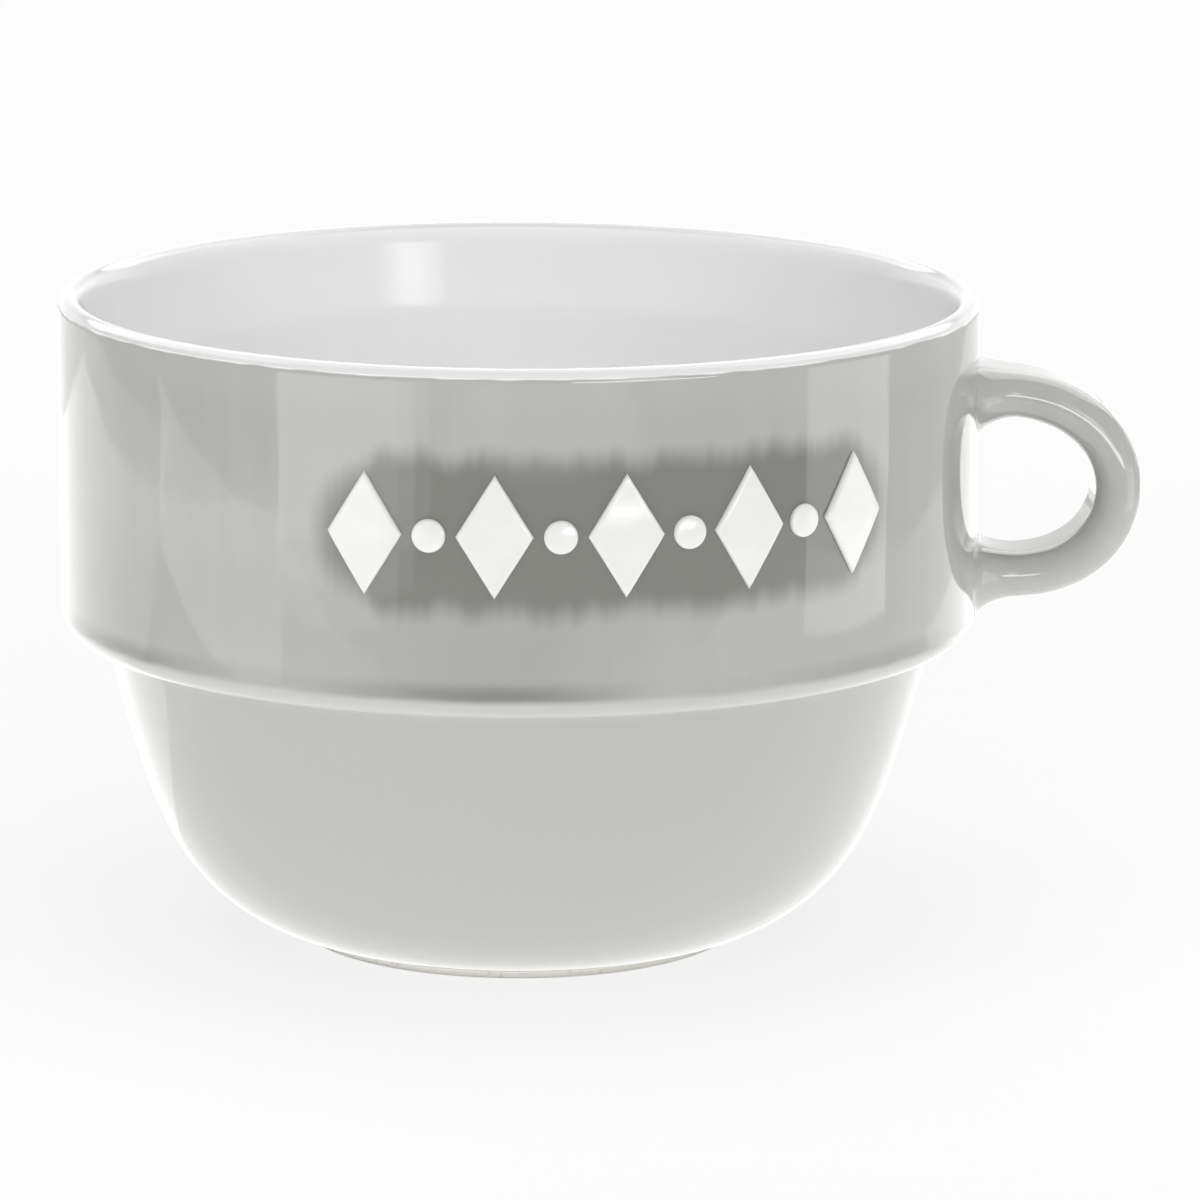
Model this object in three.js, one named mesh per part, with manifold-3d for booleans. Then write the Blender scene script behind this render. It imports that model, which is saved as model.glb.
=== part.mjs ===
// Stacking breakfast mug in glazed stoneware: a straight collar over a rounded bowl, a foot ring,
// a looped handle luted to the collar, and a raised frieze of lozenges and dots.
// Millimetres, +Z up. The table is at z = 0, the handle points to +X and the frieze faces -Y.
import * as THREE from "three";
import { mergeVertices } from "three/addons/utils/BufferGeometryUtils.js";
import Module from "manifold-3d";

const wasm = await Module();
wasm.setup();

// Driving dimensions in millimetres, and angles in degrees

// Collar and lip, over the glaze
const collarRadius = 60;
const collarHeight = 44.2; // from the ledge to the top of the lip
const wallThickness = 4.8;
const lipThickness = 3.2;
const mouthLean = 9; // of the inside where the wall thins to the lip, from upright
const lipColourAngle = 22; // where grey gives way to white, above the level of the lip's centre

// Stacking ledge under the collar, over the glaze
const ledgeWidth = 5.7; // from the collar in to the bowl
const ledgeCornerRadius = 3.2;
const ledgeFilletRadius = 1.3;

// Bowl, over the glaze
const bowlHeight = 40.8; // from the table to the ledge
const bowlLean = 15.5; // of the side at the ledge, from upright
const bowlSidePull = 19.5; // how far the side keeps that lean
const bowlUndercut = 16; // of the underside at the foot, from level
const bowlUndercutPull = 17.5; // how far the underside keeps that slope

// Inside of the cup, over the glaze
const stepRise = 9; // inside step, from its top down to the level of the ledge
const stepDrop = 4; // and from that level down to its bottom
const stepPull = 5; // softness of the step
const insideSidePull = 18.5;
const floorRadius = 22; // flat part of the floor
const floorPull = 22;
const floorThickness = 4;

// Foot ring, bare clay
const footRadius = 29;
const footWidth = 3.2;
const footHeight = 1.2; // from the table to the edge of the glaze
const footChamfer = 0.4;
const footShelf = 1; // bare step between the ring and the edge of the glaze
const recessDepth = 1.9;
const recessSlope = 1.4; // run of the sloped wall inside the ring

// Handle, over the glaze
const handleReach = 21.5; // beyond the collar
const handleDrop = 13.2; // from the top of the lip to the middle of the upper root
const handleRise = 7; // from the ledge to the middle of the lower root
const handleThickness = 6;
const handleBreadth = 12.8;
const loopDroop = 5.5; // of the loop as it leaves its upper root, from level
const rootLength = 4.4; // collar to the end of the loop
const rootFlare = 2; // how far a root spreads above and below the loop
const rootEdge = 0.4; // thickness of a root's rim at the collar

// Raised frieze on the collar
const friezeDrop = 20.7; // from the top of the lip to the middle of the frieze
const friezeAngle = 11; // of its middle, from the front towards the handle
const friezePitch = 16.3; // between lozenges, round the collar
const lozengeCount = 5;
const lozengeHeight = 15.5;
const lozengeWidth = 9.6;
const dotRadius = 2.1;
const reliefThickness = 0.6;

// Coats and clearances
const glazeThickness = 0.35;
const bondGap = 0.1; // between a coat and what it covers
const seatGap = 0.3; // between a piece and what it is luted to

// Fineness of the facets
const roundSteps = 40;
const rootSteps = 24;
const bowlSteps = 7;
const bendSteps = 4;
const lipSteps = 5;
const loopSteps = 22;
const sectionSteps = 4; // in a quarter turn
const sameSpot = 0.01; // points closer than this are one

// Worked-out sizes
const mugHeight = bowlHeight + collarHeight;
const lipRadius = lipThickness / 2;
const lipCentre = new THREE.Vector2(collarRadius - lipRadius, mugHeight - lipRadius);
const insideRadius = collarRadius - wallThickness;
const coatDepth = glazeThickness + bondGap;
const floorHeight = recessDepth + floorThickness;
const upperRootHeight = mugHeight - handleDrop;
const lowerRootHeight = bowlHeight + handleRise;
const coatGapAngle = THREE.MathUtils.radToDeg(bondGap / lipRadius);

const clay = new THREE.MeshStandardMaterial({ color: 0xefeae1, roughness: 0.85, metalness: 0 });
const greyGlaze = new THREE.MeshStandardMaterial({ color: 0xaeaeab, roughness: 0.12, metalness: 0 });
const whiteGlaze = new THREE.MeshStandardMaterial({ color: 0xf6f6f4, roughness: 0.12, metalness: 0 });

// A direction in the profile plane, by its angle up from straight out
function direction(degrees) {
  const angle = THREE.MathUtils.degToRad(degrees);
  return new THREE.Vector2(Math.cos(angle), Math.sin(angle));
}

function step(point, degrees, length) {
  return point.clone().addScaledVector(direction(degrees), length);
}

function arc(centre, radius, fromDegrees, toDegrees, steps) {
  const from = THREE.MathUtils.degToRad(fromDegrees);
  const to = THREE.MathUtils.degToRad(toDegrees);
  return new THREE.EllipseCurve(centre.x, centre.y, radius, radius, from, to, to < from).getPoints(steps);
}

// Joins stretches of a profile end to end, without doubled points
function chain(...stretches) {
  const points = stretches.flat();
  return points.filter((point, i) => i === 0 || point.distanceTo(points[i - 1]) > sameSpot);
}

// Moves a profile sideways, to the right of its own direction where the distance is positive
function shift(points, distance) {
  return points.map((point, i) => {
    const before = points[Math.max(i - 1, 0)];
    const after = points[Math.min(i + 1, points.length - 1)];
    const into = point.clone().sub(before).normalize();
    const out = after.clone().sub(point).normalize();
    const along = into.clone().add(out).normalize();
    const turn = Math.max(along.dot(into), along.dot(out));
    const side = new THREE.Vector2(along.y, -along.x);
    return point.clone().addScaledVector(side, distance / turn);
  });
}

function lathe(profile, steps = roundSteps) {
  return new THREE.LatheGeometry(profile, steps).rotateX(Math.PI / 2);
}

function closedLathe(profile) {
  return lathe([...profile, profile[0]]);
}

function solid(geometry) {
  const bare = geometry.clone();
  bare.deleteAttribute("normal");
  bare.deleteAttribute("uv");
  const merged = mergeVertices(bare);
  const corners = merged.index.array;
  const triangles = [];
  for (let i = 0; i < corners.length; i += 3) {
    const [a, b, c] = corners.slice(i, i + 3);
    if (a !== b && b !== c && c !== a) triangles.push(a, b, c);
  }
  const mesh = new wasm.Mesh({
    numProp: 3,
    vertProperties: new Float32Array(merged.attributes.position.array),
    triVerts: new Uint32Array(triangles),
  });
  return new wasm.Manifold(mesh);
}

function geometryOf(body) {
  const { vertProperties, triVerts } = body.getMesh();
  const geometry = new THREE.BufferGeometry();
  geometry.setAttribute("position", new THREE.BufferAttribute(new Float32Array(vertProperties), 3));
  geometry.setIndex(new THREE.BufferAttribute(new Uint32Array(triVerts), 1));
  geometry.computeVertexNormals();
  return geometry;
}

// Outside of the mug from the foot up to the lip, over the glaze
function outsideProfile() {
  const foot = new THREE.Vector2(footRadius + footShelf, footHeight);
  const filletCentre = new THREE.Vector2(
    collarRadius - ledgeWidth + ledgeFilletRadius * direction(bowlLean).x,
    bowlHeight - ledgeFilletRadius,
  );
  const top = step(filletCentre, 180 - bowlLean, ledgeFilletRadius);
  const bowl = new THREE.CubicBezierCurve(
    foot,
    step(foot, bowlUndercut, bowlUndercutPull),
    step(top, -90 - bowlLean, bowlSidePull),
    top,
  );
  const cornerCentre = new THREE.Vector2(collarRadius - ledgeCornerRadius, bowlHeight + ledgeCornerRadius);
  return chain(
    bowl.getPoints(bowlSteps),
    arc(filletCentre, ledgeFilletRadius, 180 - bowlLean, 90, bendSteps),
    arc(cornerCentre, ledgeCornerRadius, -90, 0, bendSteps),
    arc(lipCentre, lipRadius, 0, lipColourAngle, 1),
  );
}

// White side of the mug from the lip down to the middle of the floor, over the glaze
function insideProfile() {
  const lip = arc(lipCentre, lipRadius, lipColourAngle + coatGapAngle, 180 - mouthLean, lipSteps);
  const lipEnd = lip.at(-1);
  const mouthDepth = (lipEnd.x - insideRadius) / Math.tan(THREE.MathUtils.degToRad(mouthLean));
  const mouthEnd = new THREE.Vector2(insideRadius, lipEnd.y - mouthDepth);
  const stepTop = new THREE.Vector2(insideRadius, bowlHeight + stepRise);
  const leanTangent = Math.tan(THREE.MathUtils.degToRad(bowlLean));
  const stepBottom = new THREE.Vector2(
    collarRadius - ledgeWidth - stepDrop * leanTangent - wallThickness / direction(bowlLean).x,
    bowlHeight - stepDrop,
  );
  const bend = new THREE.CubicBezierCurve(
    stepTop,
    step(stepTop, -90, stepPull),
    step(stepBottom, 90 - bowlLean, stepPull),
    stepBottom,
  );
  const floorEdge = new THREE.Vector2(floorRadius, floorHeight);
  const bowl = new THREE.CubicBezierCurve(
    stepBottom,
    step(stepBottom, -90 - bowlLean, insideSidePull),
    step(floorEdge, 0, floorPull),
    floorEdge,
  );
  return chain(
    lip,
    [mouthEnd],
    bend.getPoints(bendSteps),
    bowl.getPoints(bowlSteps),
    [new THREE.Vector2(0, floorHeight)],
  );
}

// Bare clay under the mug, from the middle of the recess out to the edge of the glaze
function footProfile() {
  const innerRadius = footRadius - footWidth;
  return [
    new THREE.Vector2(0, recessDepth),
    new THREE.Vector2(innerRadius - recessSlope, recessDepth),
    new THREE.Vector2(innerRadius, footChamfer),
    new THREE.Vector2(innerRadius + footChamfer, 0),
    new THREE.Vector2(footRadius - footChamfer, 0),
    new THREE.Vector2(footRadius, footChamfer),
    new THREE.Vector2(footRadius, footHeight),
  ];
}

// Elliptical body standing out from the collar, by its half height at each distance from the axis
function rootBody(profile, height) {
  const geometry = lathe(profile, rootSteps);
  geometry.rotateY(Math.PI / 2);
  geometry.scale(1, handleBreadth / handleThickness, 1);
  geometry.translate(0, 0, height);
  return solid(geometry);
}

// Luting slip between the loop and the collar, spreading like a fillet towards the collar
function jointBody(height) {
  const half = handleThickness / 2;
  const inner = insideRadius;
  const flare = [];
  for (let i = 0; i <= bendSteps; i += 1) {
    const angle = (i / bendSteps) * (Math.PI / 2);
    const reach = rootEdge + (rootLength - rootEdge) * (1 - Math.cos(angle));
    flare.push(new THREE.Vector2(half + rootFlare * (1 - Math.sin(angle)), collarRadius + reach));
  }
  const profile = [
    new THREE.Vector2(0, inner),
    new THREE.Vector2(half + rootFlare, inner),
    ...flare,
    new THREE.Vector2(0, collarRadius + rootLength),
  ];
  return rootBody(profile, height);
}

// Opening through the grey coat round one root of the handle
function rootOpening(height) {
  const half = handleThickness / 2 + rootFlare + seatGap;
  const profile = [
    new THREE.Vector2(0, insideRadius),
    new THREE.Vector2(half, insideRadius),
    new THREE.Vector2(half, collarRadius + rootLength),
    new THREE.Vector2(0, collarRadius + rootLength),
  ];
  return rootBody(profile, height);
}

// Middle line of the loop, from the upper root round to the lower one
function loopPath() {
  const start = collarRadius + rootLength + seatGap;
  const reach = collarRadius + handleReach - handleThickness / 2;
  const bezierShare = 0.75; // a symmetrical cubic loop reaches three quarters of its arms' length
  const arm = (reach - start) / bezierShare;
  const droop = Math.tan(THREE.MathUtils.degToRad(loopDroop));
  return new THREE.CubicBezierCurve3(
    new THREE.Vector3(start, 0, upperRootHeight),
    new THREE.Vector3(start + arm, 0, upperRootHeight - arm * droop),
    new THREE.Vector3(start + arm, 0, lowerRootHeight),
    new THREE.Vector3(start, 0, lowerRootHeight),
  );
}

function loopGeometry(section) {
  return new THREE.ExtrudeGeometry(section, {
    steps: loopSteps,
    curveSegments: sectionSteps,
    extrudePath: loopPath(),
  });
}

// Strap with flat faces and fully rounded edges
function loopSection(depth) {
  const edge = handleThickness / 2 - depth;
  const flat = (handleBreadth - handleThickness) / 2;
  const section = new THREE.Shape();
  section.absarc(flat, 0, edge, -Math.PI / 2, Math.PI / 2);
  section.absarc(-flat, 0, edge, Math.PI / 2, Math.PI * 1.5);
  section.closePath();
  return section;
}

// A flat shape stood upright at the front of the mug and cut to the curve of the collar
function reliefBody(shape) {
  const inner = collarRadius + seatGap;
  const outer = inner + reliefThickness;
  const centre = mugHeight - friezeDrop;
  const ring = closedLathe([
    new THREE.Vector2(inner, centre - lozengeHeight),
    new THREE.Vector2(outer, centre - lozengeHeight),
    new THREE.Vector2(outer, centre + lozengeHeight),
    new THREE.Vector2(inner, centre + lozengeHeight),
  ]);
  const prism = new THREE.ExtrudeGeometry(shape, {
    depth: outer,
    curveSegments: sectionSteps * 2,
    bevelEnabled: false,
  });
  prism.rotateX(Math.PI / 2);
  prism.translate(0, -inner / 2, centre);
  return solid(prism).intersect(solid(ring));
}

function lozengeShape() {
  const shape = new THREE.Shape();
  shape.moveTo(lozengeWidth / 2, 0);
  shape.lineTo(0, lozengeHeight / 2);
  shape.lineTo(-lozengeWidth / 2, 0);
  shape.lineTo(0, -lozengeHeight / 2);
  shape.closePath();
  return shape;
}

function dotShape() {
  return new THREE.Shape().absellipse(0, 0, dotRadius, dotRadius, 0, Math.PI * 2);
}

// The handle side counts in the width, so the mug's own axis lies off the middle of the object
const mug = new THREE.Group();
mug.position.x = -handleReach / 2;

function addPiece(name, geometry, material) {
  const piece = new THREE.Mesh(geometry, material);
  piece.name = name;
  mug.add(piece);
  return piece;
}

const outside = outsideProfile();
const inside = insideProfile();
const surface = [...outside, ...inside];
const clayWall = shift(surface, -coatDepth);
const coatBack = shift(surface, -glazeThickness);

function coatGeometry(front, back) {
  return closedLathe([...back.toReversed(), ...front]);
}

addPiece("clay_body", lathe([...footProfile(), ...clayWall]), clay);
addPiece("white_glaze_lining", coatGeometry(inside, coatBack.slice(outside.length)), whiteGlaze);

const greyCoat = solid(coatGeometry(outside, coatBack.slice(0, outside.length)))
  .subtract(rootOpening(upperRootHeight))
  .subtract(rootOpening(lowerRootHeight));
addPiece("grey_glaze_coat", geometryOf(greyCoat), greyGlaze);

const recessRadius = footRadius - footWidth - recessSlope;
const recessCoat = [
  new THREE.Vector2(0, recessDepth - coatDepth),
  new THREE.Vector2(recessRadius, recessDepth - coatDepth),
  new THREE.Vector2(recessRadius, recessDepth - bondGap),
  new THREE.Vector2(0, recessDepth - bondGap),
];
addPiece("underside_glaze", lathe(recessCoat), greyGlaze);

addPiece("handle_loop", loopGeometry(loopSection(coatDepth)), clay);
const coatSection = loopSection(0);
coatSection.holes.push(loopSection(glazeThickness));
addPiece("handle_glaze", loopGeometry(coatSection), greyGlaze);

// Solid core of the collar, with the clearance that a luted root keeps from the clay
const collarCore = solid(lathe([
  new THREE.Vector2(0, 0),
  new THREE.Vector2(collarRadius - coatDepth + seatGap, 0),
  new THREE.Vector2(collarRadius - coatDepth + seatGap, mugHeight),
  new THREE.Vector2(0, mugHeight),
]));
const roots = { upper_handle_joint: upperRootHeight, lower_handle_joint: lowerRootHeight };
for (const [name, height] of Object.entries(roots)) {
  addPiece(name, geometryOf(jointBody(height).subtract(collarCore)), greyGlaze);
}

const lozenge = geometryOf(reliefBody(lozengeShape()));
const dot = geometryOf(reliefBody(dotShape()));
const pitchAngle = friezePitch / collarRadius;
const firstAngle = THREE.MathUtils.degToRad(friezeAngle) - (pitchAngle * (lozengeCount - 1)) / 2;
for (let i = 0; i < lozengeCount; i += 1) {
  const angle = firstAngle + i * pitchAngle;
  addPiece(`relief_lozenge_${i + 1}`, lozenge, whiteGlaze).rotation.z = angle;
  if (i > 0) {
    addPiece(`relief_dot_${i}`, dot, whiteGlaze).rotation.z = angle - pitchAngle / 2;
  }
}

export default mug;
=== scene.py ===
"""Stacking breakfast mug in glazed stoneware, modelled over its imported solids.

Lengths are in metres in the row's frame: +Z up, the handle towards +X and the frieze towards -Y.
Profiles are drawn in the plane of the handle, as distances out from the mug's axis and heights.
"""

import math

import bmesh
import bpy
from bpy.props import FloatProperty, FloatVectorProperty, IntProperty, PointerProperty
from bpy.types import NodeSocket, Operator, Panel, PropertyGroup
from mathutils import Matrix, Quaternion, Vector
from mathutils.geometry import interpolate_bezier


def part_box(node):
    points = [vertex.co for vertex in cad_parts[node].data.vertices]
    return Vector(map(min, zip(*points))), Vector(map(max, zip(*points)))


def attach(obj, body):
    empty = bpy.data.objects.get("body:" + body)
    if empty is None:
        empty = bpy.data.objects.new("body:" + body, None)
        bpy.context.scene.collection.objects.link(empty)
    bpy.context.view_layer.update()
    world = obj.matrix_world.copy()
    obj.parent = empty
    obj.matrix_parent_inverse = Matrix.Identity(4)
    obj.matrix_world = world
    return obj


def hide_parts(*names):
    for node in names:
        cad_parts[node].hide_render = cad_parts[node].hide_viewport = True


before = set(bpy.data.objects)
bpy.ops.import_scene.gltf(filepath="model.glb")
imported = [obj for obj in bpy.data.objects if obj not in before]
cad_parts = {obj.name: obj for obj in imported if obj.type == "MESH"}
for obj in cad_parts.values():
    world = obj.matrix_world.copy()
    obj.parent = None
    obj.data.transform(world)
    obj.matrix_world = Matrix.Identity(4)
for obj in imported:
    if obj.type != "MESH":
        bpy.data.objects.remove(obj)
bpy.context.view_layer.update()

bl_info = {
    "name": "Breakfast mug",
    "version": (1, 0, 0),
    "blender": (4, 5, 0),
    "location": "View3D > Sidebar > Mug",
    "description": "Turns, glazes and stages a stacking breakfast mug over its packed solids",
    "category": "Object",
}

COAT_LOW, COAT_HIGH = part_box("grey_glaze_coat")
LIP_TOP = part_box("white_glaze_lining")[1].z
LOOP_LOW, LOOP_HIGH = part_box("handle_glaze")
UPPER_ROOT = sum(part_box("upper_handle_joint"), Vector()) / 2
LOWER_ROOT = sum(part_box("lower_handle_joint"), Vector()) / 2
LOZENGE_LOW, LOZENGE_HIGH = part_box("relief_lozenge_3")
DOT_LOW, DOT_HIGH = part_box("relief_dot_1")
AXIS = Vector(((COAT_LOW.x + COAT_HIGH.x) / 2, 0, 0))

LOZENGES = sorted(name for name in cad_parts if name.startswith("relief_lozenge"))
DOTS = sorted(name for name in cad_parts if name.startswith("relief_dot"))

SAME_SPOT = 1e-6  # corners closer than this are one
SAME_POINT = 1e-5  # points of a profile closer than this are one
SHARP = math.radians(40)  # edges that turn by more than this stay sharp
UP, DOWN, BACK = math.pi / 2, -math.pi / 2, math.pi  # directions in a profile, turned from straight out

# Points along the curved stretches of the profiles and of the handle's middle line
OUTER_BOWL_POINTS = 56
INNER_BOWL_POINTS = 48
INNER_STEP_POINTS = 24
SHOULDER_POINTS = 18
MOUTH_POINTS = 10
LOOP_POINTS = 240
ROUND_PULL = 0.55  # arms of this share of the way round a corner much like a quarter circle
LOOP_REACH = 0.75  # a loop reaches this share of its arms


def linear(code):
    """An sRGB hex colour as linear red, green and blue."""
    shares = [int(code[i:i + 2], 16) / 255 for i in (1, 3, 5)]
    return [s / 12.92 if s <= 0.04045 else ((s + 0.055) / 1.055) ** 2.4 for s in shares]


def length(name, default, description):
    return FloatProperty(
        name=name, description=description, default=default, min=0, unit="LENGTH", precision=5
    )


def angle(name, degrees, description):
    return FloatProperty(
        name=name, description=description, default=math.radians(degrees), subtype="ANGLE"
    )


def share(name, default, description):
    return FloatProperty(
        name=name, description=description, default=default, min=0, max=1, subtype="FACTOR"
    )


def count(name, default, least, description):
    return IntProperty(name=name, description=description, default=default, min=least)


def tint(name, code, description):
    return FloatVectorProperty(
        name=name, description=description, default=linear(code), size=3, min=0, max=1, subtype="COLOR"
    )


class MugBodySizes(PropertyGroup):
    """Sizes of the turned body, measured over the glaze."""

    collar_radius: length("Collar radius", (COAT_HIGH.y - COAT_LOW.y) / 2, "Outside of the straight collar")
    lip_height: length("Lip height", LIP_TOP, "Top of the lip above the table")
    lip_thickness: length("Lip thickness", 0.0032, "Width of the rounded lip")
    wall_thickness: length("Wall thickness", 0.0048, "Wall of the collar and the bowl")
    lip_shoulder: length("Lip shoulder", 0.003, "Height of the soft inner edge of the lip")
    mouth_lean: angle("Mouth lean", 8.5, "Lean of the inside where the wall thins to the lip")
    mouth_bend: length("Mouth bend", 0.0025, "Softness of the turn under the mouth")
    lip_colour: angle("Lip colour line", 22, "Where grey gives way to white round the lip")
    ledge_height: length("Ledge height", 0.0408, "Stacking ledge above the table")
    ledge_width: length("Ledge width", 0.0057, "From the collar in to the bowl")
    ledge_corner: length("Ledge corner", 0.0032, "Rounding under the collar")
    ledge_fillet: length("Ledge fillet", 0.0013, "Hollow between ledge and bowl")
    bowl_lean: angle("Bowl lean", 15.5, "Lean of the bowl's side at the ledge")
    bowl_side_pull: length("Bowl side pull", 0.0195, "How far the side keeps its lean")
    bowl_undercut: angle("Bowl undercut", 16, "Slope of the underside at the foot")
    bowl_undercut_pull: length("Bowl undercut pull", 0.0175, "How far the underside keeps its slope")
    step_rise: length("Inside step rise", 0.009, "Inside step above the ledge")
    step_drop: length("Inside step drop", 0.004, "Inside step below the ledge")
    step_pull: length("Inside step pull", 0.005, "Softness of the inside step")
    inside_pull: length("Inside pull", 0.0185, "How far the inside keeps the bowl's lean")
    floor_height: length("Floor height", 0.0059, "Inside floor above the table")
    floor_radius: length("Floor radius", 0.022, "Flat part of the floor")
    floor_pull: length("Floor pull", 0.022, "How far the floor stays level")
    foot_radius: length("Foot radius", 0.029, "Outside of the foot ring")
    foot_width: length("Foot width", 0.0032, "Width of the foot ring")
    foot_round: length("Foot rounding", 0.0005, "Sponged edges of the foot ring")
    foot_shelf: length("Foot shelf", 0.001, "Bare step outside the foot ring")
    glaze_edge: length("Glaze edge", COAT_LOW.z, "Lower edge of the glaze above the table")
    recess_depth: length("Recess depth", 0.0019, "Hollow inside the foot ring")
    recess_slope: length("Recess slope", 0.0014, "Run of the hollow's sloped wall")
    glaze_thickness: length("Glaze thickness", 0.00035, "Thickness of each coat")
    bond_gap: length("Bond gap", 0.0001, "Between a coat and the clay")
    turn_steps: count("Turn steps", 192, 24, "Facets round the body")


class MugHandleSizes(PropertyGroup):
    """Sizes of the handle, measured over the glaze."""

    tip: length("Tip", LOOP_HIGH.x - AXIS.x, "Outermost point from the mug's axis")
    upper_height: length("Upper root", UPPER_ROOT.z, "Middle of the upper root above the table")
    lower_height: length("Lower root", LOWER_ROOT.z, "Middle of the lower root above the table")
    breadth: length("Breadth", LOOP_HIGH.y - LOOP_LOW.y, "Across the loop, sideways")
    thickness: length("Thickness", 0.006, "Through the loop")
    droop: angle("Droop", 5.5, "Fall of the loop as it leaves its upper root")
    root_length: length("Root length", 0.0047, "Straight part between the collar and the loop")
    root_reach: length("Root reach", 0.0058, "How far a root's spread reaches along the loop")
    root_meet: angle("Root meeting", 10, "How steeply a root meets the collar")
    side_spread: length("Side spread", 0.0036, "How far a root spreads to each side")
    upper_outer: length("Upper root, above", 0.0006, "Spread above the upper root")
    upper_inner: length("Upper root, below", 0.0036, "Spread below the upper root")
    lower_outer: length("Lower root, below", 0.0023, "Spread below the lower root")
    lower_inner: length("Lower root, above", 0.0020, "Spread above the lower root")
    sunk: length("Sunk", 0.0009, "How far a root goes into the collar")
    ring_corners: count("Ring corners", 72, 12, "Corners round the loop")
    flat_cuts: count("Flat cuts", 6, 1, "Cuts across half a flat face")
    loop_rings: count("Loop rings", 72, 12, "Rings along the loop")
    root_rings: count("Root rings", 14, 4, "Rings along each root")


class MugFriezeSizes(PropertyGroup):
    """Sizes of the raised frieze."""

    height: length("Height", (LOZENGE_LOW.z + LOZENGE_HIGH.z) / 2, "Middle of the frieze above the table")
    lozenge_width: length("Lozenge width", 0.0096, "Across a lozenge, round the collar")
    lozenge_height: length("Lozenge height", LOZENGE_HIGH.z - LOZENGE_LOW.z, "Up and down a lozenge")
    dot_radius: length("Dot radius", (DOT_HIGH.z - DOT_LOW.z) / 2, "Radius of a dot")
    relief: length("Relief", 0.0006, "How far the edge stands out from the glaze")
    crown: length("Crown", 0.00022, "How far the middle stands out from the edge")
    rounding: length("Rounding", 0.0004, "Softness of the edge")
    sunk: length("Sunk", 0.0001, "How far the relief goes into the glaze")


class MugColours(PropertyGroup):
    """Colours of the fired finishes and of the studio."""

    grey_glaze: tint("Grey glaze", "#ADADAA", "Full coat of the grey glaze")
    # painted dark reflection, in patches down the lower collar
    grey_painted_reflection: tint("Grey glaze, thick", "#A0A09D", "Grey glaze where it ran down the collar")
    # random clouds and streaks, and painted dark reflection in a line just above the ledge
    grey_pooled_and_shade: tint("Grey glaze, pooled", "#7E7E7A", "Grey glaze where it lies thick")
    grey_deep: tint("Grey glaze, deep", "#787873", "Grey glaze gathered behind the raised shapes")
    # glaze breaking thin, and partly a painted highlight over the ledge's corner
    grey_thin_and_highlight: tint("Grey glaze, thin", "#B5B5B2", "Grey glaze where it breaks over an edge")
    white_glaze: tint("White glaze", "#F8F8F8", "Full coat of the white glaze")
    white_shade: tint("White glaze, shade", "#F6F6F6", "White glaze where it lies thick")
    # glaze gathered on the inside floor, and painted shade that keeps the lit floor from burning out
    white_pooled_and_shade: tint("White glaze, pooled", "#E2E2E0", "White glaze gathered on the inside floor")
    # glaze breaking thin over the lip, and painted shade that holds down the lip's highlight
    white_thin_and_shade: tint("White glaze, thin", "#D4D4D3", "White glaze where it breaks over the lip")
    clay: tint("Clay", "#FAF8F4", "Bare fired stoneware")
    clay_grit: tint("Clay grit", "#E6E0D5", "Grit in the bare stoneware")
    relief: tint("Relief", "#E9E9E7", "Raised white slip under clear glaze")
    relief_shade: tint("Relief, shade", "#E0E0DE", "Raised white slip where it is thin")
    floor: tint("Floor", "#FDFDFD", "Studio floor")


class MugStage(PropertyGroup):
    """Camera and light of the studio."""

    distance: length("Camera distance", 0.9, "From the camera to the point it looks at")
    aim_height: length("Aim height", 0.0437, "Height of the point that the camera looks at")
    azimuth: angle("Camera azimuth", -2.45, "Round from the front towards the handle")
    elevation: angle("Camera elevation", 12, "Above the horizon")
    roll: angle("Camera roll", 0.33, "Lean of the camera")
    lens: FloatProperty(
        name="Lens", description="Focal length in millimetres", default=205.1, min=1, unit="CAMERA"
    )
    sky: share("Sky", 0.15, "Light from all round")
    floor_white: share("Floor white", 0.78, "How far the floor by the mug is seen as plain white")
    floor_far: share("Far floor white", 0.97, "How far the far floor is seen as plain white")
    floor_near: length("Near floor", 0.1, "How far out the floor by the mug goes")
    floor_turn: length("Floor turn", 0.45, "How far out the far floor starts")
    floor_radius: length("Floor radius", 4, "Size of the studio floor")


def polar(centre, radius, turn):
    """The profile point at an angle up from straight out."""
    return centre + radius * Vector((math.cos(turn), 0, math.sin(turn)))


def arc(centre, radius, start, end, steps):
    return [polar(centre, radius, start + (end - start) * i / steps) for i in range(steps + 1)]


def chain(*stretches):
    """Joins stretches of a profile end to end, without doubled points."""
    points = [point for stretch in stretches for point in stretch]
    return [p for i, p in enumerate(points) if i == 0 or (p - points[i - 1]).length > SAME_POINT]


def beneath(points, depth):
    """The profile moved into the wall, which lies to the left of its direction."""
    moved = []
    for i, point in enumerate(points):
        along = points[min(i + 1, len(points) - 1)] - points[max(i - 1, 0)]
        moved.append(point + depth * Vector((-along.z, 0, along.x)).normalized())
    return moved


def lip_centre(sizes):
    radius = sizes.lip_thickness / 2
    return Vector((sizes.collar_radius - radius, 0, sizes.lip_height - radius))


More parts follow.
